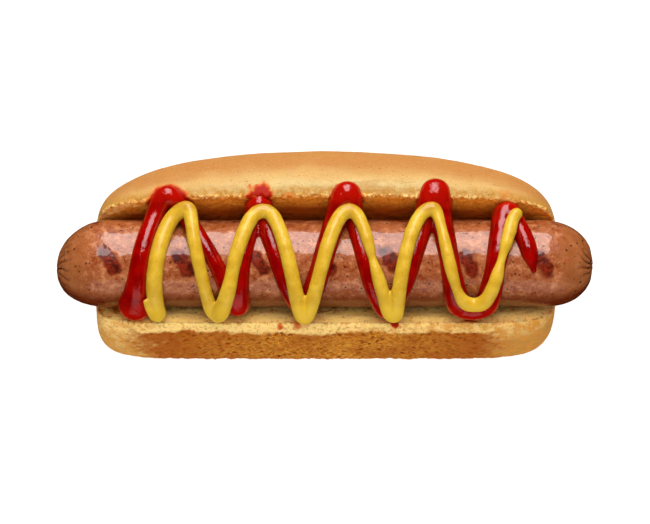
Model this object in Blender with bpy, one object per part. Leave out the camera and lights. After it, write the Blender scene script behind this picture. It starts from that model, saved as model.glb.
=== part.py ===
"""A hot dog: a grilled sausage in a side-cut soft bun, with ketchup and mustard piped over it in zigzags.

Metres, +Z up. X runs along the sausage, +Y is the domed half of the bun and -Y its flat baked bottom.
The bun lies on its hinge side with the cut open to the top. The origin is under the middle of the whole,
on the table. All the dimensions below are in millimetres.
"""

import math

import bmesh
import bpy
from mathutils import Vector
from mathutils.bvhtree import BVHTree

MM = 0.001
CLEARANCE = 0.3  # between pieces that rest on each other

# Sausage
SAUSAGE_LENGTH = 174.5
SAUSAGE_RADIUS = 14.2
SAUSAGE_CAP = 18.0  # length of each rounded end
CAP_POWER = {-1: 2.2, 1: 2.4}  # of the -X and the +X end: 2 is an ellipse, more is blunter
SAUSAGE_AXIS = (-2.4, 30.0)  # Y and Z of its centreline
TIP_BEND_FROM = 66.0  # beyond this each end bends towards -Y
TIP_BEND = {-1: 1.6, 1: 0.6}
SAUSAGE_SIDES = 36
CAP_RINGS = 9
TIP_FOLDS = 12  # gathers in the casing where each end is tied off
FOLD_DEPTH = 0.035  # share of the radius

# Bun
BUN_LENGTH = 151.0
BUN_MIDDLE = 0.45  # X of its middle: it is not quite centred on the sausage
BUN_CORE = (0.0, 18.0)  # Y and Z that the rounded ends close in on
BUN_OUTLINE = (  # Y and Z of the crust, from the middle of the hinge side round by the dome
    (0.0, 0.0),
    (14.0, 0.0),
    (26.5, 4.2),
    (33.6, 14.5),
    (33.6, 26.0),
    (28.6, 35.0),
    (19.4, 40.1),
    (0.0, 43.0),
    (-14.5, 39.0),
    (-22.5, 34.0),
    (-26.8, 28.8),
    (-30.6, 20.0),
    (-33.9, 10.6),
    (-31.6, 3.6),
    (-24.0, 0.3),
    (-12.0, 0.0),
)
STEPS_PER_POINT = 3
STATIONS = 35  # sections along the bun
END_CAP = 0.9995  # share of the half length at which each end is closed off
# How the section shrinks towards an end: (1 - u ** first) ** (1 / second), where u is 0 in the middle
# of the bun and 1 at its end.
DOME_END = (2.0, 4.0)
FLAT_END = {-1: (10.0, 9.0), 1: (10.0, 5.7)}  # of the -X and the +X end
LIP_END = (10.0, 3.6)
HINGE_END = (8.0, 2.6)

# Cut in the bun: it hugs the sausage between two angles from straight down, and flares out above them
HUG_FROM, HUG_TO = 40.0, 62.0
HUG_STEPS = 4
FLARE_RISE = 34.0

# Sauces: X, Y, strand width at each turn, and how far the stroke that leads there bows along X
KETCHUP_TURNS = (
    (-61.6, -18.2, 8.4, 0.0),
    (-51.4, 21.4, 8.6, -3.0),
    (-28.5, -18.6, 6.6, 0.6),
    (-20.7, 19.6, 7.2, -1.6),
    (-7.0, -18.2, 6.6, -1.0),
    (7.3, 21.6, 8.6, 0.2),
    (21.6, -19.2, 6.6, -1.5),
    (36.0, 22.8, 8.6, 0.8),
    (48.4, -19.4, 7.8, -2.0),
    (58.4, 18.0, 8.0, 1.8),
    (67.3, -4.8, 2.4, 1.4),
)
MUSTARD_TURNS = (
    (-54.3, -18.8, 5.0, 0.0),
    (-44.5, 15.5, 4.6, -5.1),
    (-34.4, -19.6, 4.8, -1.1),
    (-20.1, 15.2, 4.6, -1.6),
    (-6.7, -19.6, 4.8, 1.5),
    (8.0, 15.5, 4.6, -1.3),
    (22.6, -19.2, 4.8, 0.2),
    (35.0, 16.1, 4.6, -2.8),
    (48.4, -16.5, 4.6, 0.0),
    (62.1, 13.2, 3.8, 0.3),
)
KETCHUP_WIDTH, KETCHUP_HEIGHT = 6.8, 2.6  # along a stroke, as it lies
MUSTARD_WIDTH, MUSTARD_HEIGHT = 4.4, 3.4
KETCHUP_POINTED, MUSTARD_POINTED = 0.5, 0.0  # 0 rounds the turns, 1 makes them points
STEPS_PER_STROKE = 18
SETTLE_FROM = 62.0  # height that a strand comes down from
SETTLE_STEP = 0.2
SMOOTHING_PASSES = 5
VOXEL = 0.8
SAUCE_FACES = 1700


def clear_scene():
    for old in list(bpy.data.objects):
        bpy.data.objects.remove(old, do_unlink=True)


def finish(name, colour, roughness):
    """The sub-part's own material."""
    material = bpy.data.materials.new(name)
    material.use_nodes = True
    shader = material.node_tree.nodes["Principled BSDF"]
    shader.inputs["Base Color"].default_value = (*colour, 1.0)
    shader.inputs["Roughness"].default_value = roughness
    shader.inputs["Metallic"].default_value = 0.0
    return material


def object_of(bm, name, material=None):
    """Turns a bmesh in millimetres into an object in metres, with its faces pointing out."""
    bmesh.ops.recalc_face_normals(bm, faces=bm.faces)
    bmesh.ops.scale(bm, vec=(MM, MM, MM), verts=bm.verts)
    mesh = bpy.data.meshes.new(name)
    bm.to_mesh(mesh)
    bm.free()
    mesh.shade_smooth()
    mesh.set_sharp_from_angle(angle=math.radians(40))
    made = bpy.data.objects.new(name, mesh)
    bpy.context.scene.collection.objects.link(made)
    if material:
        mesh.materials.append(material)
    return made


def tool(made):
    """Marks an object as a cutter, which is no part of the hot dog."""
    made.hide_render = True
    made.display_type = "WIRE"
    return made


def cut(made, *cutters):
    for cutter in cutters:
        boolean = made.modifiers.new("cut_by_" + cutter.name, "BOOLEAN")
        boolean.operation = "DIFFERENCE"
        boolean.solver = "EXACT"
        boolean.object = cutter


def loft(rings):
    """A closed skin through rings of points, with each end filled."""
    bm = bmesh.new()
    last = None
    for ring in rings:
        corners = [bm.verts.new(point) for point in ring]
        edges = [bm.edges.new((a, b)) for a, b in zip(corners, corners[1:] + corners[:1])]
        if last is None:
            bm.faces.new(corners)
        else:
            bmesh.ops.bridge_loops(bm, edges=last + edges)
        last = edges
        end = corners
    bm.faces.new(end)
    return bm


# Sausage ---------------------------------------------------------------------------------------------


def sausage_half(end):
    """(X, share of the full radius) from one tip to the middle. end is -1 or 1."""
    straight = SAUSAGE_LENGTH / 2 - SAUSAGE_CAP
    power = 2 / CAP_POWER[end]
    stations = []
    for ring in range(CAP_RINGS):
        turn = math.pi / 2 * (ring + 0.5) / (CAP_RINGS - 0.5)
        along = SAUSAGE_CAP * math.cos(turn) ** power
        stations.append((end * (straight + along), math.sin(turn) ** power))
    return stations + [(end * straight * share, 1.0) for share in (0.75, 0.5, 0.25, 0.0)]


def sausage(name, grow=0.0, material=None):
    """grow thickens it, for a cutter that leaves a clearance."""
    y, z = SAUSAGE_AXIS
    rings = []
    for x, share in sausage_half(-1) + sausage_half(1)[-2::-1]:
        radius = SAUSAGE_RADIUS * share + grow
        folds = FOLD_DEPTH * (1 - share) if grow == 0 else 0.0
        beyond = max(abs(x) - TIP_BEND_FROM, 0) / (SAUSAGE_LENGTH / 2 - TIP_BEND_FROM)
        bend = TIP_BEND[-1 if x < 0 else 1] * beyond**2
        ring = []
        for side in range(SAUSAGE_SIDES):
            angle = math.tau * side / SAUSAGE_SIDES
            r = radius * (1 - folds * (1 + math.cos(TIP_FOLDS * angle)))
            ring.append((x, y - bend + r * math.cos(angle), z + r * math.sin(angle)))
        rings.append(ring)
    return object_of(loft(rings), name, material)


# Bun -------------------------------------------------------------------------------------------------


def catmull(before, start, end, after, t):
    """A point on the smooth curve through four neighbours, between the middle two."""
    return tuple(
        0.5 * (2 * b + (c - a) * t + (2 * a - 5 * b + 4 * c - d) * t**2 + (3 * b - a - 3 * c + d) * t**3)
        for a, b, c, d in zip(before, start, end, after)
    )


def bun_outline():
    count = len(BUN_OUTLINE)
    points = []
    for i in range(count):
        near = [BUN_OUTLINE[(i + k) % count] for k in (-1, 0, 1, 2)]
        for step in range(STEPS_PER_POINT):
            points.append(catmull(*near, step / STEPS_PER_POINT))
    return points


def end_share(u, powers):
    return (1 - u ** powers[0]) ** (1 / powers[1])


def bun_section(x, grow):
    """The crust's ring at x. Towards the ends it closes in on the core, in its own way on each side."""
    u = min(abs(x) / (BUN_LENGTH / 2), END_CAP)
    flat_end = FLAT_END[-1 if x < 0 else 1]
    ring = []
    for y, z in bun_outline():
        reach_y, reach_z = y - BUN_CORE[0], z - BUN_CORE[1]
        length = math.hypot(reach_y, reach_z)
        sideways = (reach_y / length) ** 2
        side = end_share(u, DOME_END if reach_y > 0 else flat_end)
        level = end_share(u, LIP_END if reach_z > 0 else HINGE_END)
        share = side * sideways + level * (1 - sideways) + grow / length
        height = max(BUN_CORE[1] + reach_z * share, -grow)
        ring.append((x + BUN_MIDDLE, BUN_CORE[0] + reach_y * share, height))
    return ring


def cut_side(grow):
    """One side of the cut, from its bottom up, measured from the sausage's axis."""
    radius = SAUSAGE_RADIUS + CLEARANCE - grow
    low, high = math.radians(HUG_FROM), math.radians(HUG_TO)
    points = [(0.0, -radius / math.cos(low))]
    for step in range(HUG_STEPS + 1):
        angle = low + (high - low) * step / HUG_STEPS
        points.append((radius * math.sin(angle), -radius * math.cos(angle)))
    y, z = points[-1]
    points.append((y + FLARE_RISE / math.tan(high), z + FLARE_RISE))
    return points


def bread_cutter(name, grow):
    """Takes the cut out of the bun, from end to end."""
    side = cut_side(grow)
    outline = side + [(-y, z) for y, z in reversed(side[1:])]
    y0, z0 = SAUSAGE_AXIS
    rings = [[(x, y0 + y, z0 + z) for y, z in outline] for x in (-BUN_LENGTH, BUN_LENGTH)]
    return tool(object_of(loft(rings), name))


def bun(name, grow=0.0, material=None):
    """grow thickens it, for a cutter that leaves a clearance."""
    rings = []
    for station in range(STATIONS + 1):
        x = BUN_LENGTH / 2 * math.sin(math.pi * (station / STATIONS - 0.5))
        rings.append(bun_section(x, grow))
    made = object_of(loft(rings), name, material)
    cut(made, bread_cutter(name + "_cut", grow))
    return made


# Sauces ----------------------------------------------------------------------------------------------


def zigzag(turns, stroke_width, pointed):
    """Points (X, Y, width) along a piped zigzag: each stroke eases in and out of its turns."""
    route = []
    for (x0, y0, w0, _), (x1, y1, w1, bow) in zip(turns, turns[1:]):
        for step in range(STEPS_PER_STROKE):
            t = step / STEPS_PER_STROKE
            ease = pointed * t + (1 - pointed) * (1 - math.cos(math.pi * t)) / 2
            swing = math.cos(math.pi * t)
            wide = (w0 - stroke_width) * max(swing, 0) ** 2 + (w1 - stroke_width) * max(-swing, 0) ** 2
            x = x0 + (x1 - x0) * t + bow * math.sin(math.pi * t)
            route.append((x, y0 + (y1 - y0) * ease, stroke_width + wide))
    x, y, width, _ = turns[-1]
    return route + [(x, y, width)]


def tree_of(*objects):
    """One search tree over the finished shapes of some objects, in millimetres."""
    graph = bpy.context.evaluated_depsgraph_get()
    corners, faces = [], []
    for made in objects:
        mesh = made.evaluated_get(graph).to_mesh()
        first = len(corners)
        corners += [vertex.co / MM for vertex in mesh.vertices]
        faces += [[first + i for i in polygon.vertices] for polygon in mesh.polygons]
    return BVHTree.FromPolygons(corners, faces)


def settle(x, y, radius, tree):
    """Lowers a ball at x, y until it touches. Returns its nearest point and the way out of it."""
    centre = Vector((x, y, SETTLE_FROM))
    touch, _, _, distance = tree.find_nearest(centre)
    while distance > radius + SETTLE_STEP:
        centre.z -= distance - radius
        touch, _, _, distance = tree.find_nearest(centre)
    out = (centre - touch).normalized()
    return centre - out * radius, out


def smoothed(points):
    """The same points with their kinks eased out, but for the two ends."""
    for _ in range(SMOOTHING_PASSES):
        middle = [(a + b * 2 + c) / 4 for a, b, c in zip(points, points[1:], points[2:])]
        points = [points[0], *middle, points[-1]]
    return points


def strand_route(turns, width, height, pointed, tree):
    """(centre, radius) along a strand, sunk so that what shows of it is as wide and high as stated."""
    grounds, outs = [], []
    route = zigzag(turns, width, pointed)
    for x, y, _ in route:
        ground, out = settle(x, y, width / 2, tree)
        grounds.append(Vector((x, y, ground.z)))
        outs.append(out)
    found = []
    for (_, _, wide), ground, out in zip(route, smoothed(grounds), smoothed(outs)):
        tall = height * min(1.0, wide / width)
        radius = (wide * wide / 4 + tall * tall) / (2 * tall)
        found.append((ground + out.normalized() * (tall - radius), radius))
    return found


def swept_line(route):
    """A round line of changing thickness with ball ends."""
    curve = bpy.data.curves.new("line", "CURVE")
    curve.dimensions = "3D"
    curve.bevel_depth = 1.0
    curve.bevel_resolution = 4
    curve.use_fill_caps = True
    spline = curve.splines.new("POLY")
    spline.points.add(len(route) - 1)
    for point, (centre, radius) in zip(spline.points, route):
        point.co = (*centre, 1.0)
        point.radius = radius
    line = bpy.data.objects.new("line", curve)
    bm = bmesh.new()
    bm.from_mesh(line.to_mesh())
    bpy.data.objects.remove(line)
    for centre, radius in (route[0], route[-1]):
        ball = bmesh.ops.create_icosphere(bm, subdivisions=3, radius=radius)
        bmesh.ops.translate(bm, verts=ball["verts"], vec=centre)
    return bm


def strand(name, route, material=None):
    """A strand of sauce. The voxel remesh melts its tight turns into one skin."""
    made = object_of(swept_line(route), name, material)
    melt = made.modifiers.new("melt", "REMESH")
    melt.mode = "VOXEL"
    melt.voxel_size = VOXEL * MM
    melted = made.evaluated_get(bpy.context.evaluated_depsgraph_get()).to_mesh()
    thin = made.modifiers.new("thin", "DECIMATE")
    thin.ratio = SAUCE_FACES / (2 * len(melted.polygons))
    return made


def thickened(made):
    """Grows a strand by the clearance, for a cutter."""
    swell = made.modifiers.new("swell", "DISPLACE")
    swell.mid_level = 0.0
    swell.strength = CLEARANCE * MM
    return tool(made)


def main():
    clear_scene()
    the_bun = bun("bun", material=finish("bun", (0.72, 0.42, 0.17), 0.75))
    the_sausage = sausage("sausage", material=finish("sausage", (0.48, 0.21, 0.10), 0.35))
    fat_bun = tool(bun("bun_clearance", CLEARANCE))
    fat_sausage = tool(sausage("sausage_clearance", CLEARANCE))

    bread = tree_of(the_bun, the_sausage)
    route = strand_route(KETCHUP_TURNS, KETCHUP_WIDTH, KETCHUP_HEIGHT, KETCHUP_POINTED, bread)
    ketchup = strand("ketchup", route, material=finish("ketchup", (0.45, 0.01, 0.01), 0.2))
    cut(ketchup, fat_sausage, fat_bun)
    fat_ketchup = thickened(strand("ketchup_clearance", route))

    below = tree_of(the_bun, the_sausage, ketchup)
    route = strand_route(MUSTARD_TURNS, MUSTARD_WIDTH, MUSTARD_HEIGHT, MUSTARD_POINTED, below)
    mustard = strand("mustard", route, material=finish("mustard", (0.80, 0.50, 0.03), 0.4))
    cut(mustard, fat_sausage, fat_bun, fat_ketchup)


main()
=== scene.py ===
"""The looks of a hot dog: a grilled sausage in a side-cut bun, with ketchup and mustard piped over it.

The shapes below are worked out in millimetres and laid down in metres. X runs along the sausage, +Y is
the domed half of the bun and -Y its flat baked bottom, and the cut opens upward.
"""

import math

import bmesh
import bpy
from mathutils import Matrix, Vector, noise
from mathutils.bvhtree import BVHTree
from mathutils.kdtree import KDTree


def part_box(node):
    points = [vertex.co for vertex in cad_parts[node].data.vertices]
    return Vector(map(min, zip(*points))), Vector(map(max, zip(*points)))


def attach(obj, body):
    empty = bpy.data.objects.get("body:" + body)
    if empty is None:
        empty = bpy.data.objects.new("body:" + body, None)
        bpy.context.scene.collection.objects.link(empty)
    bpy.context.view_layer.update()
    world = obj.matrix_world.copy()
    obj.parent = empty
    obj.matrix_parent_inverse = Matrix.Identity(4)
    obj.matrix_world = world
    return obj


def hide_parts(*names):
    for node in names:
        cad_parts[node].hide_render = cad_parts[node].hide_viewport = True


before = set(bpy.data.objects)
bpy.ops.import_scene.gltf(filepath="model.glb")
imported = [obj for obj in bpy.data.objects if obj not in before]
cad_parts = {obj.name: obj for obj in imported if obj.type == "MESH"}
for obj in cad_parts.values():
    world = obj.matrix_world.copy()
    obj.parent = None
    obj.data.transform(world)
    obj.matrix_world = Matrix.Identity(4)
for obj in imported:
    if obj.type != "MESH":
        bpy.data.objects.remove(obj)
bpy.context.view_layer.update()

MM = 0.001
SEED = Vector((31.7, 12.3, 5.9))

# Sausage, from its solid
LOW, HIGH = (corner * 1000 for corner in map(Vector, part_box("sausage")))
LINK_HALF = (HIGH.x - LOW.x) / 2
LINK_RADIUS = (HIGH.z - LOW.z) / 2
LINK_Z = (HIGH.z + LOW.z) / 2
LINK_Y = HIGH.y - LINK_RADIUS
LINK_CAP = 18.0
CAP_POWER = {-1: 2.2, 1: 2.4}
TIP_BEND_FROM = 66.0
TIP_BEND = {-1: 1.6, 1: 0.6}
# Grill marks: X, turn from straight up towards +Y in degrees, length along the mark, width
GRILL_MARKS = (
    (-69.6, 4.0, 11.0, 4.6),
    (-45.6, 1.0, 11.0, 5.4),
    (-21.2, 0.0, 9.6, 4.6),
    (0.8, -2.0, 9.4, 4.6),
    (21.0, 6.0, 9.4, 5.4),
    (46.4, 0.0, 10.0, 4.8),
    (70.8, -1.0, 10.4, 4.8),
)
MARK_LEAN = math.radians(58)

# Bun, to the solid's own outline
LOW, HIGH = (corner * 1000 for corner in map(Vector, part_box("bun")))
BUN_HALF = (HIGH.x - LOW.x) / 2
BUN_MIDDLE = (HIGH.x + LOW.x) / 2
BUN_CORE = (0.0, 18.0)
BUN_OUTLINE = (
    (0.0, 0.0),
    (14.0, 0.0),
    (26.5, 4.2),
    (33.6, 14.5),
    (33.6, 26.0),
    (28.6, 35.0),
    (19.4, 40.1),
    (0.0, 43.0),
    (-14.5, 39.0),
    (-22.5, 34.0),
    (-26.8, 28.8),
    (-30.6, 20.0),
    (-33.9, 10.6),
    (-31.6, 3.6),
    (-24.0, 0.3),
    (-12.0, 0.0),
)
END_CAP = 0.9995
DOME_END = (2.0, 4.0)
FLAT_END = {-1: (10.0, 9.0), 1: (10.0, 5.7)}
LIP_END = (10.0, 3.6)
HINGE_END = (8.0, 2.6)
HUG_FROM, HUG_TO = math.radians(40), math.radians(62)
HUG_RADIUS = LINK_RADIUS + 0.3
FLARE_RISE = 34.0
CRUMB_VOXEL = 0.8
BREAD_LAYERS = ("depth", "cut", "bake_and_shade", "bottom", "toast_and_shade", "stain", "pit")
# Hollows in the dome's skin, and specks of sauce on the bread: X, Y, reach, and how much
DOME_DENTS = (
    (5.2, 27.0, 5.5, 0.5),
    (3.0, 21.5, 2.2, 0.5),
    (8.5, 20.8, 1.8, 0.4),
    (-41.0, 22.0, 3.0, 0.4),
    (-3.5, 22.5, 2.6, 0.3),
    (24.5, 22.0, 3.4, 0.4),
    (-62.5, 16.5, 3.0, 0.4),
    (62.0, 21.0, 3.5, 0.3),
)
SAUCE_SPECKS = (
    (-20.4, 19.6, 5.0, 0.9),
    (-20.4, 17.4, 5.0, 1.0),
    (-14.4, -23.0, 1.5, 0.55),
    (-9.0, -22.7, 1.9, 0.5),
    (22.6, -22.4, 1.9, 1.0),
    (-11.6, 19.8, 1.6, 0.4),
    (-6.8, -21.8, 3.4, 0.35),
    (56.5, -21.4, 1.6, 0.4),
    (58.4, 19.4, 4.0, 0.3),
)

# Sauces: X, Y and width at each turn, then the stroke that leads there: its width, its bow along X, and
# how pointed its ends are, from 0 for round turns to 1 for sharp ones
KETCHUP_TURNS = (
    (-61.4, -18.3, 9.4, 0.0, 0.0, 0.0),
    (-51.4, 21.8, 6.2, 6.3, -2.4, 1.0),
    (-28.0, -18.4, 7.6, 5.4, 2.2, 1.0),
    (-21.2, 16.2, 6.6, 5.6, -1.6, 0.4),
    (-6.8, -18.2, 6.6, 5.9, -1.4, 0.5),
    (7.4, 21.4, 8.2, 7.0, 0.0, 0.5),
    (20.4, -19.0, 6.6, 5.8, -1.6, 0.5),
    (36.2, 22.6, 9.0, 6.4, 1.0, 0.5),
    (43.2, -18.4, 7.8, 6.6, 0.0, 1.0),
    (52.4, -18.4, 7.8, 7.2, 0.0, 1.0),
    (58.6, 15.2, 8.2, 7.2, 0.0, 0.8),
    (67.5, -4.6, 2.2, 5.8, 2.0, 0.5),
)
MUSTARD_TURNS = (
    (-54.2, -19.4, 5.2, 0.0, 0.0, 0.0),
    (-44.5, 15.5, 4.6, 5.1, -5.1, 0.0),
    (-34.4, -19.4, 6.2, 4.0, -1.1, 0.0),
    (-20.1, 15.2, 4.4, 4.6, -1.6, 0.0),
    (-6.7, -19.6, 5.0, 4.5, 1.5, 0.0),
    (8.0, 15.5, 4.4, 4.4, -1.3, 0.0),
    (22.6, -19.0, 5.6, 4.0, 0.2, 0.0),
    (35.0, 16.1, 4.2, 4.2, -2.8, 0.0),
    (45.6, -15.4, 4.5, 3.7, -0.6, 0.0),
    (50.6, -15.6, 4.5, 4.3, 0.0, 0.0),
    (62.1, 13.2, 3.6, 4.0, 0.6, 0.0),
)
# Where a strand runs thin: X, Y, reach, and the shares of its width and height that are left
KETCHUP_THIN = ((-21.0, 15.0, 6.0, 1.0, 0.7), (-45.8, 17.0, 3.4, 0.72, 0.65))
MUSTARD_THIN = (
    (15.6, -0.8, 4.2, 0.66, 0.85),
    (44.0, -10.4, 3.6, 0.75, 0.9),
    (55.8, -0.8, 4.2, 0.62, 0.85),
    (-31.0, -5.0, 4.0, 0.9, 0.95),
    (37.5, 9.0, 4.0, 0.88, 0.95),
)
# The mustard's tail, pulled off beside where the strand starts: X, Y, width
MUSTARD_FLAP = ((-58.0, -14.6, 1.6), (-57.6, -16.6, 2.4), (-56.4, -18.6, 2.8), (-55.2, -20.0, 3.0))
KETCHUP_WIDTH, KETCHUP_HEIGHT = 6.8, 2.5
MUSTARD_WIDTH, MUSTARD_HEIGHT = 4.5, 3.5
STEP, SMOOTHING_PASSES = 0.6, 45
KETCHUP_VOXEL, MUSTARD_VOXEL = 0.4, 0.34


# Numbers ---------------------------------------------------------------------------------------------


def clamp(value, low=0.0, high=1.0):
    return min(max(value, low), high)


def ease(value, start, end):
    """0 before start and 1 after end, smooth between."""
    t = clamp((value - start) / (end - start))
    return t * t * (3 - 2 * t)


def lumps(point, size, detail=1):
    """Smooth noise from about -1 to 1, with lumps of a size in millimetres."""
    return noise.fractal(Vector(point) / size + SEED, 1.0, 2.0, detail)


# Meshes ----------------------------------------------------------------------------------------------


def mesh_of(bm, name):
    mesh = bpy.data.meshes.new(name)
    bm.to_mesh(mesh)
    bm.free()
    return mesh


def object_of(bm, name):
    made = bpy.data.objects.new(name, mesh_of(bm, name))
    bpy.context.scene.collection.objects.link(made)
    return made


def applied(made):
    """The bmesh of an object with its modifiers applied. The object goes away."""
    graph = bpy.context.evaluated_depsgraph_get()
    bm = bmesh.new()
    bm.from_mesh(made.evaluated_get(graph).to_mesh())
    bpy.data.objects.remove(made)
    return bm


def remeshed(bm, voxel):
    made = object_of(bm, "remesh")
    skin = made.modifiers.new("skin", "REMESH")
    skin.mode = "VOXEL"
    skin.voxel_size = voxel
    return applied(made)


def smooth(bm, times, factor=0.5):
    for _ in range(times):
        bmesh.ops.smooth_vert(
            bm, verts=bm.verts, factor=factor, use_axis_x=True, use_axis_y=True, use_axis_z=True
        )


def push(bm, amount):
    """Moves every vertex along its normal by amount(vertex) millimetres."""
    bm.normal_update()
    moves = [(vertex, vertex.co + vertex.normal * amount(vertex)) for vertex in bm.verts]
    for vertex, place in moves:
        vertex.co = place


def piece_of(bm, name, material, node):
    """A finished piece that stands for a CAD node. Its attributes stay with it."""
    bmesh.ops.scale(bm, vec=(MM, MM, MM), verts=bm.verts)
    piece = object_of(bm, name)
    piece.data.shade_smooth()
    piece.data.materials.append(material)
    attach(piece, "root")
    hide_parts(node)
    return piece


def tree_of(*bms):
    """One search tree over some bmeshes."""
    corners, faces = [], []
    for bm in bms:
        first = len(corners)
        bm.verts.index_update()
        corners += [vertex.co.copy() for vertex in bm.verts]
        faces += [[first + vertex.index for vertex in face.verts] for face in bm.faces]
    return BVHTree.FromPolygons(corners, faces)


# Finishes --------------------------------------------------------------------------------------------


class Finish:
    """A procedural material, put together node by node. Sizes are in millimetres."""

    def __init__(self, name, roughness, specular=0.5):
        self.material = bpy.data.materials.new(name)
        self.material.use_nodes = True
        self.tree = self.material.node_tree
        self.shader = self.tree.nodes["Principled BSDF"]
        self.shader.inputs["Roughness"].default_value = roughness
        self.shader.inputs["Specular IOR Level"].default_value = specular
        coordinates = self.tree.nodes.new("ShaderNodeTexCoord").outputs["Object"]
        self.place = self.vector("SCALE", coordinates, scale=1000)

    def add(self, kind, **settings):
        node = self.tree.nodes.new("ShaderNode" + kind)
        for name, value in settings.items():
            setattr(node, name, value)
        return node

    def join(self, socket, value):
        """A socket gets a link from another socket, or a plain value."""
        if isinstance(value, bpy.types.NodeSocket):
            self.tree.links.new(value, socket)
        elif isinstance(value, tuple) and len(value) == 3 and socket.type == "RGBA":
            socket.default_value = (*value, 1.0)
        else:
            socket.default_value = value

    def vector(self, operation, first, second=None, scale=None):
        node = self.add("VectorMath", operation=operation)
        self.join(node.inputs[0], first)
        if second is not None:
            self.join(node.inputs[1], second)
        if scale is not None:
            self.join(node.inputs["Scale"], scale)
        return node.outputs[0]

    def stir(self, value, *wobbles):
        """A value with noise in it: each wobble is a noise and how far it moves the value."""
        for wobble, amount in wobbles:
            shift = self.math("MULTIPLY", self.math("SUBTRACT", wobble, 0.5), amount)
            value = self.math("ADD", value, shift)
        return value

    def vector_part(self, vector, axis):
        node = self.add("SeparateXYZ")
        self.join(node.inputs[0], vector)
        return node.outputs[axis]

    def math(self, operation, first, second=0.0):
        node = self.add("Math", operation=operation)
        self.join(node.inputs[0], first)
        self.join(node.inputs[1], second)
        return node.outputs[0]

    def attribute(self, name):
        return self.add("Attribute", attribute_name=name).outputs["Fac"]

    def noise(self, size, detail=2.0, roughness=0.5, distortion=0.0, stretch=(1, 1, 1)):
        place = self.vector("MULTIPLY", self.place, stretch) if stretch != (1, 1, 1) else self.place
        node = self.add("TexNoise")
        self.join(node.inputs["Vector"], place)
        self.join(node.inputs["Scale"], 1 / size)
        self.join(node.inputs["Detail"], detail)
        self.join(node.inputs["Roughness"], roughness)
        self.join(node.inputs["Distortion"], distortion)
        return node.outputs["Fac"]

    def cells(self, size, feature="F1", output="Distance", wobble=0.0):
        place = self.place
        if wobble:
            shift = self.add("TexNoise")
            self.join(shift.inputs["Vector"], self.place)
            self.join(shift.inputs["Scale"], 1.3 / size)
            place = self.vector("ADD", place, self.vector("SCALE", shift.outputs["Color"], scale=wobble))
        node = self.add("TexVoronoi", feature=feature)
        self.join(node.inputs["Vector"], place)
        self.join(node.inputs["Scale"], 1 / size)
        return node.outputs[output]

    def band(self, value, start, end, low=0.0, high=1.0):
        """low where value is at start and high where it is at end, smooth between."""
        node = self.add("MapRange", interpolation_type="SMOOTHSTEP")
        for name, given in zip(("Value", "From Min", "From Max", "To Min", "To Max"), (value, start, end, low, high)):
            self.join(node.inputs[name], given)
        return node.outputs["Result"]

    def mix(self, share, first, second, blend="MIX"):
        node = self.add("Mix", data_type="RGBA", blend_type=blend)
        for index, given in ((0, share), (6, first), (7, second)):
            self.join(node.inputs[index], given)
        return node.outputs[2]

    def between(self, share, first, second):
        """A value from first to second."""
        node = self.add("Mix", data_type="FLOAT")
        for index, given in ((0, share), (2, first), (3, second)):
            self.join(node.inputs[index], given)
        return node.outputs[0]

    def bump(self, height, depth, strength=1.0):
        """Relief of a depth in millimetres over what is there already."""
        node = self.add("Bump")
        self.join(node.inputs["Height"], height)
        self.join(node.inputs["Distance"], depth * MM)
        self.join(node.inputs["Strength"], strength)
        if self.shader.inputs["Normal"].links:
            self.join(node.inputs["Normal"], self.shader.inputs["Normal"].links[0].from_socket)
        self.join(self.shader.inputs["Normal"], node.outputs["Normal"])

    def give(self, **values):
        for name, value in values.items():
            self.join(self.shader.inputs[name.replace("_", " ")], value)
        return self.material

    def melt(self, weight, radius, scale):
        """Light that soaks in: how far each colour goes, times scale, in millimetres."""
        self.shader.inputs["Subsurface Weight"].default_value = weight
        self.shader.inputs["Subsurface Radius"].default_value = radius
        self.shader.inputs["Subsurface Scale"].default_value = scale * MM


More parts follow.
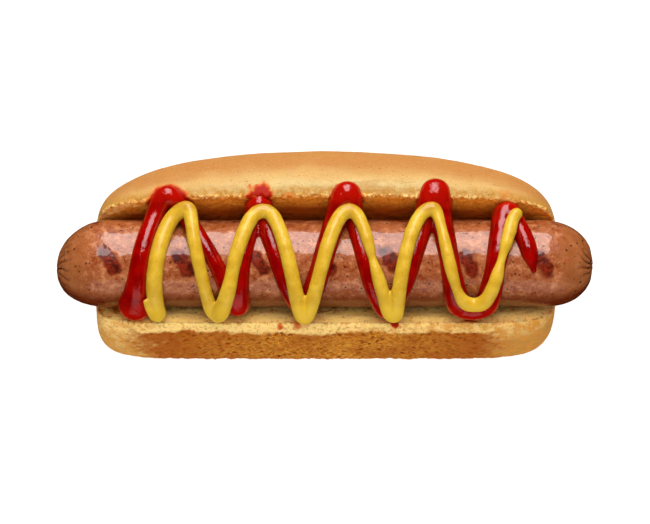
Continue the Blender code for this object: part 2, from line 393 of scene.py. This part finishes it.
def bread_finish():
    finish = Finish("baked_bread", 0.6, 0.12)
    depth, cut, bake_and_shade, bottom, toast_and_shade, stain, pit = (finish.attribute(name) for name in BREAD_LAYERS)
    clouds = finish.noise(13.0, 3.0, 0.55)
    streaks = finish.noise(4.5, 4.0, 0.6, stretch=(0.22, 1, 1))
    mottle = finish.noise(3.0, 4.0, 0.6)
    patches = finish.noise(1.9, 3.0, 0.6, 0.4)
    crumbs = finish.noise(1.2, 5.0, 0.72, 0.5)
    grain = finish.noise(0.55, 3.0, 0.65)

    # Dome and sides: pale gold by the lip, brown gold on the crown, with fine grain and pinprick holes. The brown on
    # the crown and towards the ends is partly real baking and partly painted shade where the dome turns away
    browned = finish.stir(bake_and_shade, (clouds, 0.5), (streaks, 0.35), (grain, 0.25))
    crust = finish.mix(finish.band(browned, 0.0, 0.5), (0.60, 0.46, 0.21), (0.54, 0.33, 0.110))
    crust = finish.mix(finish.band(browned, 0.45, 1.0), crust, (0.41, 0.165, 0.036))
    by_lip = finish.math("MULTIPLY", finish.band(finish.stir(cut, (mottle, 3.5)), 5.0, 1.5), finish.band(patches, 0.3, 0.6, 0.5))
    crust = finish.mix(by_lip, crust, (0.42, 0.20, 0.028))
    crust = finish.mix(finish.band(grain, 0.50, 0.75, 0.0, 0.2), crust, (0.76, 0.58, 0.28))
    crust = finish.mix(finish.band(grain, 0.50, 0.28, 0.0, 0.5), crust, (0.34, 0.15, 0.035))
    crust = finish.mix(finish.band(streaks, 0.42, 0.33, 0.0, 0.5), crust, (0.40, 0.19, 0.04))
    pinpricks = finish.math("MULTIPLY", finish.band(finish.cells(2.1, wobble=0.8), 0.14, 0.07), finish.band(mottle, 0.45, 0.5))
    crust = finish.mix(finish.math("MULTIPLY", pinpricks, 0.75), crust, (0.16, 0.055, 0.008))

    # Soft sides of the lower half: cream gold
    side = finish.mix(finish.band(finish.stir(bake_and_shade, (clouds, 0.5), (mottle, 0.5)), 0.1, 0.75), (0.95, 0.64, 0.22), (0.56, 0.25, 0.045))
    side = finish.mix(finish.band(crumbs, 0.50, 0.34, 0.0, 0.85), side, (0.46, 0.18, 0.024))
    side = finish.mix(finish.band(grain, 0.48, 0.30, 0.0, 0.5), side, (0.50, 0.20, 0.030))
    toasted = finish.band(finish.stir(bake_and_shade, (clouds, 0.6)), 0.05, 0.4)
    toasted = finish.math("MULTIPLY", toasted, finish.band(mottle, 0.46, 0.60, 0.0, 0.85))
    side = finish.mix(toasted, side, (0.66, 0.27, 0.030))
    lower = finish.band(finish.vector_part(finish.place, "Y"), -8.0, -14.0)
    crust = finish.mix(lower, crust, side)

    # Flat baked bottom: brown ridges round dark pits
    hollow = finish.stir(finish.math("MULTIPLY", pit, 0.35), (crumbs, -1.9))
    base = finish.mix(finish.band(hollow, -0.35, 0.2), (0.76, 0.34, 0.035), (0.46, 0.135, 0.006))
    base = finish.mix(finish.band(hollow, 0.08, 0.4, 0.0, 0.9), base, (0.14, 0.022, 0.001))
    base = finish.mix(finish.band(clouds, 0.58, 0.38, 0.0, 0.6), base, (0.38, 0.09, 0.004))
    outward = finish.math("ABSOLUTE", finish.vector_part(finish.place, "X"))
    base = finish.mix(finish.band(finish.stir(outward, (clouds, 30.0)), 18.0, 60.0, 0.0, 0.85), base, (0.37, 0.078, 0.003))
    crust = finish.mix(finish.band(finish.stir(bottom, (patches, 1.0), (crumbs, 0.6)), 0.2, 0.85), crust, base)

    # Cut faces: pale crumb with dark pores, browned where it was toasted, and darker deeper into the gap by the
    # sausage as painted shade
    crumb = finish.mix(finish.band(crumbs, 0.32, 0.46), (0.46, 0.175, 0.022), (0.98, 0.61, 0.18))
    scorch_and_gap_shade = finish.mix(finish.band(crumbs, 0.34, 0.6), (0.58, 0.155, 0.008), (0.85, 0.30, 0.030))
    # Deep in the gap by the sausage the scorched crumb turns dark brown: painted shade
    scorch_and_gap_shade = finish.mix(finish.band(depth, 3.5, 10.0), scorch_and_gap_shade, (0.42, 0.075, 0.004))
    crumb = finish.mix(finish.band(finish.stir(toast_and_shade, (mottle, 0.9), (patches, 0.5)), 0.3, 0.62), crumb, scorch_and_gap_shade)

    # Torn edge between crust and cut: cream with singed flecks
    ragged = finish.between(finish.band(cut, 5.0, 2.5), depth, finish.stir(depth, (patches, 1.6)))
    bread = finish.mix(finish.band(ragged, 0.2, 0.45), crust, crumb)
    rim = finish.math("MULTIPLY", finish.band(cut, 1.5, 0.3), finish.band(ragged, 1.7, 0.4))
    torn = finish.mix(finish.band(crumbs, 0.46, 0.56), (0.50, 0.17, 0.020), (0.90, 0.62, 0.22))
    bread = finish.mix(finish.math("MULTIPLY", rim, finish.band(mottle, 0.35, 0.6, 0.3, 0.9)), bread, torn)

    # Sauce that soaked in
    soaked = finish.band(finish.stir(stain, (patches, 0.5)), 0.15, 0.6)
    sauce = finish.mix(finish.band(finish.stir(stain, (mottle, 0.4)), 0.4, 0.85), (0.60, 0.13, 0.012), (0.36, 0.008, 0.0))
    bread = finish.mix(soaked, bread, sauce)

    finish.bump(grain, 0.35, 0.6)
    relief = finish.between(bottom, finish.between(0.5, streaks, mottle), crumbs)
    finish.bump(finish.between(finish.band(ragged, 0.15, 0.5), relief, crumbs), 0.45, 0.8)
    finish.melt(0.45, (1.0, 0.4, 0.12), 4.0)
    wet = finish.between(soaked, finish.band(depth, 0.2, 0.6, 0.5, 0.85), 0.3)
    return finish.give(Base_Color=bread, Roughness=wet)


def casing_finish():
    finish = Finish("grilled_casing", 0.2, 0.22)
    sear = finish.attribute("sear")
    tip = finish.attribute("tip")
    shaded_flank = finish.attribute("shaded_flank")
    fold_shade = finish.attribute("fold_shade")
    clouds = finish.noise(8.0, 3.0, 0.55)
    mottle = finish.noise(2.6, 4.0, 0.65)
    grain = finish.noise(0.7, 3.0, 0.65)

    meat = finish.mix(finish.band(clouds, 0.35, 0.65), (0.35, 0.100, 0.033), (0.28, 0.066, 0.018))
    meat = finish.mix(finish.band(mottle, 0.50, 0.66, 0.0, 0.8), meat, (0.53, 0.20, 0.080))
    meat = finish.mix(finish.band(mottle, 0.47, 0.35, 0.0, 0.85), meat, (0.20, 0.028, 0.003))
    meat = finish.mix(finish.band(grain, 0.5, 0.70, 0.0, 0.5), meat, (0.48, 0.18, 0.055))
    meat = finish.mix(finish.band(grain, 0.44, 0.30, 0.0, 0.6), meat, (0.20, 0.034, 0.004))
    # Browner towards the tips, and lighter and pinker there as a painted sheen
    meat = finish.mix(finish.math("MULTIPLY", finish.band(finish.stir(tip, (clouds, 0.8)), 0.2, 0.9), 0.7), meat, (0.30, 0.092, 0.024))
    # The casing's side towards the flat half is darker: painted shade
    meat = finish.mix(finish.math("MULTIPLY", shaded_flank, 0.95), meat, (0.12, 0.014, 0.001))
    blotches = finish.band(finish.noise(3.0, 3.0, 0.6), 0.66, 0.74, 0.0, 0.7)
    meat = finish.mix(blotches, meat, (0.36, 0.045, 0.008))
    # Darker in the gathered pleats at the tips: painted shade in the creases
    meat = finish.mix(finish.math("MULTIPLY", fold_shade, 0.8), meat, (0.12, 0.020, 0.002))

    some = finish.band(finish.noise(2.3, 1.0), 0.50, 0.54)
    specks = finish.math("MULTIPLY", finish.band(finish.cells(1.9, wobble=0.6), 0.27, 0.14), some)
    meat = finish.mix(finish.math("MULTIPLY", specks, 0.9), meat, (0.035, 0.010, 0.004))

    charred = finish.band(finish.stir(sear, (mottle, 0.9), (grain, 0.5)), 0.15, 0.8)
    char = finish.mix(finish.band(finish.stir(mottle, (grain, 0.6)), 0.36, 0.62), (0.05, 0.003, 0.0), (0.20, 0.014, 0.001))
    meat = finish.mix(charred, meat, char)

    finish.bump(grain, 0.3, 0.6)
    finish.bump(finish.noise(1.5, 3.0, 0.6), 0.3, 0.5)
    finish.bump(mottle, 0.45, 0.5)
    finish.melt(0.06, (1.0, 0.35, 0.15), 1.0)
    finish.shader.inputs["Coat Weight"].default_value = 0.68
    finish.shader.inputs["Coat Roughness"].default_value = 0.05
    return finish.give(Base_Color=meat, Roughness=finish.between(charred, finish.band(mottle, 0.3, 0.7, 0.14, 0.26), 0.3))


def ketchup_finish():
    finish = Finish("ketchup", 0.08, 0.5)
    clouds = finish.noise(5.0, 3.0)
    red = finish.mix(finish.band(clouds, 0.35, 0.65), (0.19, 0.0, 0.0), (0.29, 0.001, 0.0))
    across = finish.math("ABSOLUTE", finish.vector_part(finish.place, "Y"))
    # Lighter red out at the turns by the lips: painted highlight on the blobs and pools
    red = finish.mix(finish.band(finish.stir(across, (clouds, 6.0)), 13.0, 19.0, 0.0, 0.5), red, (0.46, 0.006, 0.001))
    finish.bump(finish.noise(2.4, 3.0, 0.6), 0.5, 0.5)
    finish.bump(finish.noise(0.8, 2.0, 0.6), 0.12, 0.5)
    finish.melt(0.06, (1.0, 0.05, 0.02), 0.8)
    return finish.give(Base_Color=red)


def mustard_finish():
    finish = Finish("mustard", 0.27, 0.4)
    clouds = finish.noise(4.0, 3.0)
    mottle = finish.noise(1.4, 3.0, 0.6)
    yellow = finish.mix(finish.band(clouds, 0.3, 0.7), (0.54, 0.31, 0.014), (0.64, 0.40, 0.030))
    yellow = finish.mix(finish.band(mottle, 0.45, 0.28, 0.0, 0.5), yellow, (0.50, 0.25, 0.006))
    specks = finish.band(finish.noise(0.6, 2.0, 0.6), 0.66, 0.74, 0.0, 0.6)
    yellow = finish.mix(specks, yellow, (0.30, 0.12, 0.006))
    across = finish.stir(finish.vector_part(finish.place, "Y"), (clouds, 5.0))
    # Darker at the peaks by the dome's lip: painted shade
    yellow = finish.mix(finish.band(across, 14.2, 16.4, 0.0, 0.7), yellow, (0.40, 0.19, 0.006))
    # Lighter at the V bottoms on the flat side: painted highlight
    yellow = finish.mix(finish.band(across, -15.0, -18.0, 0.0, 0.7), yellow, (0.74, 0.46, 0.020))
    finish.bump(finish.noise(0.5, 2.0), 0.10, 0.4)
    finish.bump(mottle, 0.35, 0.5)
    finish.melt(0.25, (1.0, 0.6, 0.08), 1.2)
    return finish.give(Base_Color=yellow)


# Sausage ---------------------------------------------------------------------------------------------


def casing_arc(end):
    """(X, radius) at even steps along the sausage's side, from the middle to one tip."""
    straight = LINK_HALF - LINK_CAP
    power = 2 / CAP_POWER[end]
    profile = [(0.0, LINK_RADIUS), (straight, LINK_RADIUS)]
    for step in range(1, 181):
        turn = math.pi / 2 * (1 - step / 180)
        profile.append((straight + LINK_CAP * math.cos(turn) ** power, LINK_RADIUS * math.sin(turn) ** power))
    lengths = [0.0]
    for (x0, r0), (x1, r1) in zip(profile, profile[1:]):
        lengths.append(lengths[-1] + math.hypot(x1 - x0, r1 - r0))
    return profile, lengths


def along(profile, lengths, share):
    """(X, radius) at a share of the profile's length."""
    goal = share * lengths[-1]
    for (x0, r0), (x1, r1), a, b in zip(profile, profile[1:], lengths, lengths[1:]):
        if goal <= b:
            t = (goal - a) / (b - a)
            return x0 + (x1 - x0) * t, r0 + (r1 - r0) * t
    return profile[-1]


def mark_closeness(x, y, z):
    """1 inside a grill mark, 0 away from it. The marks slant across the top."""
    turn = math.atan2(y - LINK_Y, z - LINK_Z)
    best = 0.0
    for mark_x, mark_turn, length, width in GRILL_MARKS:
        dx, dy = x - mark_x, (turn - math.radians(mark_turn)) * LINK_RADIUS
        if abs(dx) > 10 or abs(dy) > 10:
            continue
        run = dx * math.cos(MARK_LEAN) - dy * math.sin(MARK_LEAN)
        off = dx * math.sin(MARK_LEAN) + dy * math.cos(MARK_LEAN)
        spread = math.hypot(max(abs(run) - (length - width) / 2, 0), off) / (width / 2)
        best = max(best, 1 - ease(spread + 0.45 * lumps((x, y, z), 2.8, 3), 0.35, 1.5))
    return best


def sausage():
    bm = bmesh.new()
    bmesh.ops.create_uvsphere(
        bm, u_segments=240, v_segments=400, radius=1.0, matrix=Matrix.Rotation(math.pi / 2, 4, "Y")
    )
    sides = {end: casing_arc(end) for end in (-1, 1)}
    sear, tip, shaded_flank, fold_shade = (bm.verts.layers.float.new(name) for name in ("sear", "tip", "shaded_flank", "fold_shade"))
    for vertex in bm.verts:
        end = -1 if vertex.co.x < 0 else 1
        share = math.asin(clamp(abs(vertex.co.x))) / (math.pi / 2)
        x, radius = along(*sides[end], share)
        turn = math.atan2(vertex.co.z, vertex.co.y)
        beyond = max(x - TIP_BEND_FROM, 0) / (LINK_HALF - TIP_BEND_FROM)
        gather = ease(radius, 12.4 + 1.5 * lumps((end * 20, 6 * math.cos(turn), 6 * math.sin(turn)), 3.0, 2), 4.0)
        wander = 2.2 * lumps((x * end, 4 * math.cos(turn), 4 * math.sin(turn)), 5.0, 2)
        pleats = abs(math.sin(turn * 9 + wander))
        uneven = clamp(0.75 + 0.9 * lumps((end * 40, 9 * math.cos(turn), 9 * math.sin(turn)), 6.0, 2), 0.3, 1.2)
        crease = gather * (1 - pleats) ** 2 * uneven
        swell = 0.22 * lumps((end * x, 14 * math.cos(turn), 14 * math.sin(turn)), 17.0, 2)
        slack = ease(radius, 0.4, 2.5)
        knot = 0.35 * ease(radius, 3.0, 0.8) * lumps((end, 9 * math.cos(turn), 9 * math.sin(turn)), 3.0, 2)
        radius += swell * ease(radius, 0.0, 8.0) + slack * (0.3 * gather - 1.3 * crease)
        x -= 0.8 * crease * slack - knot
        vertex.co = (
            end * x,
            LINK_Y - TIP_BEND[end] * beyond**2 + radius * math.cos(turn),
            LINK_Z + radius * math.sin(turn),
        )
        vertex[sear] = mark_closeness(*vertex.co) if vertex.co.z > LINK_Z else 0.0
        vertex[tip] = ease(x, LINK_HALF - 17, LINK_HALF - 4)
        # Painted shade on the side towards the flat half
        vertex[shaded_flank] = ease(-math.cos(turn), 0.60, 0.90)
        # Painted shade in the pleats at the tips
        vertex[fold_shade] = crease
    push(bm, lambda vertex: -0.15 * vertex[sear] + 0.09 * lumps(vertex.co, 2.6, 3))
    bmesh.ops.recalc_face_normals(bm, faces=bm.faces)
    return bm


# Bun -------------------------------------------------------------------------------------------------


def catmull(before, start, end, after, t):
    """A point on the smooth curve through four neighbours, between the middle two."""
    return [
        0.5 * (2 * b + (c - a) * t + (2 * a - 5 * b + 4 * c - d) * t**2 + (3 * b - a - 3 * c + d) * t**3)
        for a, b, c, d in zip(before, start, end, after)
    ]


def end_share(u, powers):
    return (1 - u ** powers[0]) ** (1 / powers[1])


def crust_point(direction):
    """Where the uncut bun's skin is, from a point on a unit ball with its poles at the bun's ends."""
    if math.hypot(direction.y, direction.z) < 1e-6:
        return BUN_MIDDLE + BUN_HALF * direction.x, *BUN_CORE
    u = min(abs(direction.x), END_CAP)
    count = len(BUN_OUTLINE)
    place = (math.atan2(direction.z, direction.y) / math.tau) % 1.0 * count
    i = int(place)
    near = [BUN_OUTLINE[(i + k) % count] for k in (-1, 0, 1, 2)]
    y, z = catmull(*near, place - i)
    reach_y, reach_z = y - BUN_CORE[0], z - BUN_CORE[1]
    sideways = (reach_y / math.hypot(reach_y, reach_z)) ** 2
    side = end_share(u, DOME_END if reach_y > 0 else FLAT_END[-1 if direction.x < 0 else 1])
    level = end_share(u, LIP_END if reach_z > 0 else HINGE_END)
    share = side * sideways + level * (1 - sideways)
    height = max(BUN_CORE[1] + reach_z * share, 0.0)
    return BUN_MIDDLE + BUN_HALF * direction.x, BUN_CORE[0] + reach_y * share, height


def bread_skin():
    bm = bmesh.new()
    bmesh.ops.create_uvsphere(
        bm, u_segments=192, v_segments=256, radius=1.0, matrix=Matrix.Rotation(math.pi / 2, 4, "Y")
    )
    for vertex in bm.verts:
        vertex.co = crust_point(vertex.co)
    bmesh.ops.recalc_face_normals(bm, faces=bm.faces)
    return bm


def cut_distance(point):
    """How far a point lies into the bread from the cut, less than 0 inside it."""
    y, z = abs(point.y - LINK_Y), point.z - LINK_Z
    turn = clamp(math.atan2(y, -z), HUG_FROM, HUG_TO)
    return y * math.sin(turn) - z * math.cos(turn) - HUG_RADIUS


def bread_cutter():
    """Takes the cut out of the bun: a wedge with a bottom that hugs the sausage."""
    side = [(0.0, -HUG_RADIUS / math.cos(HUG_FROM))]
    for step in range(13):
        turn = HUG_FROM + (HUG_TO - HUG_FROM) * step / 12
        side.append((HUG_RADIUS * math.sin(turn), -HUG_RADIUS * math.cos(turn)))
    y, z = side[-1]
    side.append((y + FLARE_RISE / math.tan(HUG_TO), z + FLARE_RISE))
    bm = bmesh.new()
    outline = side + [(-y, z) for y, z in reversed(side[1:])]
    wall = bm.faces.new([bm.verts.new((-BUN_HALF - 20, LINK_Y + y, LINK_Z + z)) for y, z in outline])
    extruded = bmesh.ops.extrude_face_region(bm, geom=[wall])["geom"]
    corners = [corner for corner in extruded if isinstance(corner, bmesh.types.BMVert)]
    bmesh.ops.translate(bm, verts=corners, vec=(2 * BUN_HALF + 40, 0, 0))
    bmesh.ops.recalc_face_normals(bm, faces=bm.faces)
    return bm


def cut_bun():
    """The plain bun with the cut taken out of it."""
    whole = object_of(bread_skin(), "whole_bun")
    cutter = object_of(bread_cutter(), "bread_cutter")
    cut = whole.modifiers.new("cut", "BOOLEAN")
    cut.operation = "DIFFERENCE"
    cut.solver = "EXACT"
    cut.object = cutter
    bm = applied(whole)
    bpy.data.objects.remove(cutter)
    return bm


def bun(ketchup_route):
    skin = bread_skin()
    crust_tree = tree_of(skin)
    skin.free()
    bm = remeshed(cut_bun(), CRUMB_VOXEL)
    smooth(bm, 2)
    fine = [edge for edge in bm.edges if is_detailed((edge.verts[0].co + edge.verts[1].co) / 2, crust_tree)]
    bmesh.ops.subdivide_edges(bm, edges=fine, cuts=1, use_grid_fill=True)
    bm.normal_update()
    layers = {name: bm.verts.layers.float.new(name) for name in BREAD_LAYERS}
    sauce = KDTree(len(ketchup_route))
    for i, (centre, _) in enumerate(ketchup_route):
        sauce.insert(centre, i)
    sauce.balance()
    for vertex in bm.verts:
        point = vertex.co
        depth = crust_tree.find_nearest(point)[3]
        found = {
            "depth": depth,
            "cut": cut_distance(point),
            "bake_and_shade": bake_and_shade_of(point, vertex.normal),
            "bottom": bottom_of(point),
            "toast_and_shade": toast_and_shade_of(point, depth),
            "stain": stain_of(point, sauce.find(point)[2]),
            "pit": pit_of(point, 2.2),
        }
        for name, value in found.items():
            vertex[layers[name]] = value
    push(bm, lambda vertex: bread_relief(vertex, layers))
    for vertex in bm.verts:
        vertex.co.z = max(vertex.co.z, 0.0)
    return bm


def is_detailed(point, crust_tree):
    """Whether the bread here is rough enough to need a fine mesh: round the lips and on the baked side."""
    if cut_distance(point) < 3.0 and point.z > 33.0:
        return crust_tree.find_nearest(point)[3] < 4.0
    return point.y < -21.0 and 9.0 < point.z < 36.0


def bake_and_shade_of(point, normal):
    """How brown the crust is, from 0 to 1: most on the crown of the dome, least on the soft sides. On the crown and
    at the ends this is partly real baking and partly painted shade where the crust turns away.
    """
    # Crown and ends: partly baking, partly painted shade
    crown = ease(math.hypot(0.9 * normal.x, normal.y), 0.25, 0.95)
    ends = 0.95 * ease(abs(point.x - BUN_MIDDLE), 44.0, 72.0)
    under = 0.35 * ease(-normal.z, 0.3, 0.9)
    if point.y < LINK_Y:
        rightward = 0.3 * ease(point.x, -30.0, 60.0)
        return clamp(rightward + 0.35 * ease(point.z, 31.0, 22.0) + 0.25 * ends + under)
    return clamp(max(crown, ends, under))


def bottom_of(point):
    """1 on the brown baked bottom, 0 on the rest of the crust."""
    wave = 1.4 * lumps((point.x, 0, 0), 16.0, 2) + 1.1 * lumps(point, 5.0, 2)
    reach = ease(point.z, 33.0 + wave, 29.6 + wave)
    sides = 1 - ease(abs(point.x + 2.0) + 5 * lumps(point, 12.0, 2), 46.0, 68.0)
    return reach * ease(-point.y, 14.0, 20.0) * (0.15 + 0.85 * sides)


def toast_and_shade_of(point, depth):
    """How toasted the cut face is, with painted shade added: darker deeper into the gap by the sausage, and a painted
    shadow of the sauces on the lower half's left end.
    """
    if point.y > LINK_Y:
        # Darker deeper into the gap: painted shade
        return 0.72 + 0.3 * ease(depth, 1.0, 7.0) - 0.3 * ease(-point.x, 50.0, 64.0)
    right = 0.28 * ease(point.x, 40.0, 52.0) * ease(depth, 3.0, 0.8)
    # Left end: painted shadow of the sauces; deeper in: painted shade
    left = 0.45 * ease(-point.x, 50.0, 62.0)
    return 0.02 + right + left + 0.35 * ease(depth, 3.0, 8.0)


def stain_of(point, gap):
    """Sauce that soaked into the bread, beside the ketchup and in stray specks."""
    wobble = lumps(point, 2.0, 2)
    found = 0.9 * (1 - ease(gap + 0.6 * wobble, 3.2, 5.4))
    for x, y, reach, amount in SAUCE_SPECKS:
        if point.z > 30.0:
            found = max(found, amount * (1 - ease(math.hypot(point.x - x, point.y - y) / reach + 0.5 * wobble, 0.3, 1.2)))
    return found


def pit_of(point, size):
    """1 in the middle of a small hole in the crust, 0 between the holes."""
    nearest = noise.voronoi(point / size + SEED)[0][0]
    return 1 - ease(nearest, 0.10, 0.45)


def bread_relief(vertex, layers):
    """How far the bread stands out from its smooth form."""
    point = vertex.co
    depth, away, bottom, pit = (vertex[layers[name]] for name in ("depth", "cut", "bottom", "pit"))
    if point.z < 0.3:
        return 0.0
    inside = ease(depth, 0.3, 1.0) * (1 - ease(away, 0.6, 1.4))
    crumb = -0.10 + 0.35 * lumps(point, 1.8, 3) + 0.25 * lumps(point, 6.0, 1)
    rough = 0.40 * lumps(point, 2.2, 3) + 0.30 * lumps(point, 8.0, 2) - 0.45 * pit
    silky = 0.30 * lumps(point, 22.0, 2) + 0.06 * lumps(point, 4.0, 3)
    for x, y, reach, amount in DOME_DENTS:
        silky -= amount * (1 - ease(math.hypot((point.x - x) / 1.5, point.y - y) / reach, 0.0, 1.0))
    crust = silky + (rough - silky) * bottom
    lip = (1 - ease(depth, 0.4, 2.0)) * (1 - ease(away, 0.3, 2.2))
    torn = 0.45 * lumps(point, 1.9, 3) + 0.45 * lumps(point, 5.5, 2)
    worn = 0.8 * (1 - ease(depth, 0.0, 4.5)) * (1 - ease(away, 0.0, 1.6)) if point.y < LINK_Y else 0.0
    return crust * (1 - inside) + crumb * inside + torn * lip - worn


# Sauces ----------------------------------------------------------------------------------------------


def zigzag(turns):
    """Points (X, Y, width) along a piped zigzag: each stroke eases in and out of its turns."""
    route = []
    for (x0, y0, w0, *_), (x1, y1, w1, stroke, bow, pointed) in zip(turns, turns[1:]):
        steps = round(math.hypot(x1 - x0, y1 - y0) / STEP)
        for step in range(steps):
            t = step / steps
            swing = math.cos(math.pi * t)
            gone = pointed * t + (1 - pointed) * (1 - swing) / 2
            turn_width = w0 if swing > 0 else w1
            width = stroke + (turn_width - stroke) * abs(swing) ** 5
            route.append((x0 + (x1 - x0) * t + bow * math.sin(math.pi * t), y0 + (y1 - y0) * gone, width))
    return route + [turns[-1][:3]]


def thinned(x, y, places):
    """The shares of its width and height that a strand has at X, Y."""
    wide = high = 1.0
    for place_x, place_y, reach, width_share, height_share in places:
        near = math.exp(-((x - place_x) ** 2 + (y - place_y) ** 2) / reach**2)
        wide -= (1 - width_share) * near
        high -= (1 - height_share) * near
    return wide, high


def settle(x, y, radius, tree):
    """Lowers a ball at x, y until it touches. Returns its nearest point and the way out of it."""
    centre = Vector((x, y, 62.0))
    touch, _, _, distance = tree.find_nearest(centre)
    while distance > radius + 0.05:
        centre.z -= distance - radius
        touch, _, _, distance = tree.find_nearest(centre)
    out = (centre - touch).normalized()
    return centre - out * radius, out


def smoothed(points, passes):
    for _ in range(passes):
        middle = [(a + b * 2 + c) / 4 for a, b, c in zip(points, points[1:], points[2:])]
        points = [points[0], *middle, points[-1]]
    return points


def strand_route(points, width, height, tree, thin=(), ripple=0.0):
    """(centre, radius, way out) along a strand, sunk so that it shows as wide and high as stated."""
    grounds, outs = [], []
    for x, y, _ in points:
        ground, out = settle(x, y, width / 2, tree)
        grounds.append(Vector((x, y, ground.z)))
        outs.append(out)
    passes = min(SMOOTHING_PASSES, len(points))
    found = []
    for i, (point, ground, out) in enumerate(zip(points, smoothed(grounds, passes), smoothed(outs, passes))):
        wide_share, high_share = thinned(point[0], point[1], thin)
        wide = point[2] * wide_share
        wide *= 1 + 0.06 * lumps((i * 0.5, 0, width), 9.0, 2) + ripple * lumps((i * 0.5, 9, 0), 1.3, 1)
        tall = height * high_share * min(1.0, wide / width)
        radius = (wide * wide / 4 + tall * tall) / (2 * tall)
        out = out.normalized()
        found.append((ground + out * (tall - radius), radius, out))
    return found


def strand(routes, balls, voxel):
    """Round lines of changing thickness and round blobs, melted into one skin."""
    bm = bmesh.new()
    for route in routes:
        curve = bpy.data.curves.new("line", "CURVE")
        curve.dimensions = "3D"
        curve.bevel_depth = 1.0
        curve.bevel_resolution = 8
        curve.use_fill_caps = True
        spline = curve.splines.new("POLY")
        spline.points.add(len(route) - 1)
        for point, (centre, radius, _) in zip(spline.points, route):
            point.co = (*centre, 1.0)
            point.radius = radius
        line = bpy.data.objects.new("line", curve)
        bm.from_mesh(line.to_mesh())
        bpy.data.objects.remove(line)
        balls = [*balls, route[0][:2], route[-1][:2]]
    for centre, radius in balls:
        ball = bmesh.ops.create_icosphere(bm, subdivisions=4, radius=radius)
        bmesh.ops.translate(bm, verts=ball["verts"], vec=centre)
    bm = remeshed(bm, voxel)
    smooth(bm, 4)
    return bm


def low_turns(turns, route):
    """Small blobs on top of the strand's turns over the flat side, where the stroke came to a stop."""
    blobs = []
    for x, y, width, *_ in turns[1:-1]:
        if y < -18:
            near = min(route, key=lambda step: math.hypot(step[0].x - x, step[0].y - y))
            centre, radius, out = near
            blobs.append((centre + out * (radius - 0.36 * width) + Vector((0.0, 0.9, 0.0)), 0.47 * width))
    return blobs


# Stage -----------------------------------------------------------------------------------------------


def area_light(name, place, aim, size, power, shines=True):
    light = bpy.data.lights.new(name, "AREA")
    light.shape = "RECTANGLE"
    light.size, light.size_y = size
    light.energy = power
    lamp = bpy.data.objects.new(name, light)
    lamp.location = place
    lamp.rotation_euler = (Vector(aim) - Vector(place)).to_track_quat("-Z", "Y").to_euler()
    lamp.visible_camera = False
    lamp.visible_glossy = shines
    bpy.context.scene.collection.objects.link(lamp)


def stage():
    bm = bmesh.new()
    bmesh.ops.create_grid(bm, x_segments=1, y_segments=1, size=3.0)
    floor = object_of(bm, "floor")
    white = Finish("white_table", 0.6, 0.2)
    tint = white.mix(white.noise(400.0), (0.34, 0.34, 0.34), (0.36, 0.36, 0.36))
    # The table glows: painted light that keeps it white where the hot dog's shadow falls
    white.give(Emission_Color=(1.0, 1.0, 1.0), Emission_Strength=0.8)
    floor.data.materials.append(white.give(Base_Color=tint))
    floor.visible_glossy = False

    # A tall soft light behind the dome, a low one before the flat side
    area_light("back_softbox", (0, 0.95, 0.66), (0, 0, 0.03), (0.7, 1.5), 21)
    area_light("front_fill", (0, -0.85, 0.85), (0, 0, 0.03), (3.0, 1.2), 9, shines=False)
    area_light("top_fill", (0, 0.10, 1.60), (0, 0, 0.03), (1.6, 1.0), 9, shines=False)
    area_light("front_shine", (0, -1.0, 0.52), (0, 0, 0.03), (1.2, 0.7), 2.0)
    world = bpy.data.worlds.new("studio")
    world.use_nodes = True
    world.node_tree.nodes["Background"].inputs["Color"].default_value = (1, 1, 1, 1)
    world.node_tree.nodes["Background"].inputs["Strength"].default_value = 0.2
    bpy.context.scene.world = world
    world.cycles_visibility.glossy = False
    bpy.context.scene.view_settings.view_transform = "Standard"

    camera = bpy.data.cameras.new("camera")
    camera.sensor_width = 36.0
    camera.lens = 36.0 * 1470 / 211.9
    camera.clip_end = 20.0
    eye = bpy.data.objects.new("camera", camera)
    eye.location = (0.00013, -0.00196, 1.5)
    bpy.context.scene.collection.objects.link(eye)
    bpy.context.scene.camera = eye


def main():
    link = sausage()
    plain_bun = cut_bun()
    ground = tree_of(link, plain_bun)
    points = zigzag(KETCHUP_TURNS)
    ketchup_route = strand_route(points, KETCHUP_WIDTH, KETCHUP_HEIGHT, ground, KETCHUP_THIN)
    ketchup = strand([ketchup_route], [], KETCHUP_VOXEL)
    ground = tree_of(link, plain_bun, ketchup)
    points = zigzag(MUSTARD_TURNS)
    mustard_route = strand_route(points, MUSTARD_WIDTH, MUSTARD_HEIGHT, ground, MUSTARD_THIN, 0.05)
    flap_route = strand_route(MUSTARD_FLAP, MUSTARD_WIDTH, MUSTARD_HEIGHT, ground)
    mustard = strand([mustard_route, flap_route], low_turns(MUSTARD_TURNS, mustard_route), MUSTARD_VOXEL)
    plain_bun.free()

    piece_of(bun([step[:2] for step in ketchup_route]), "soft_bun", bread_finish(), "bun")
    piece_of(link, "grilled_sausage", casing_finish(), "sausage")
    piece_of(ketchup, "ketchup_strand", ketchup_finish(), "ketchup")
    piece_of(mustard, "mustard_strand", mustard_finish(), "mustard")
    stage()


main()
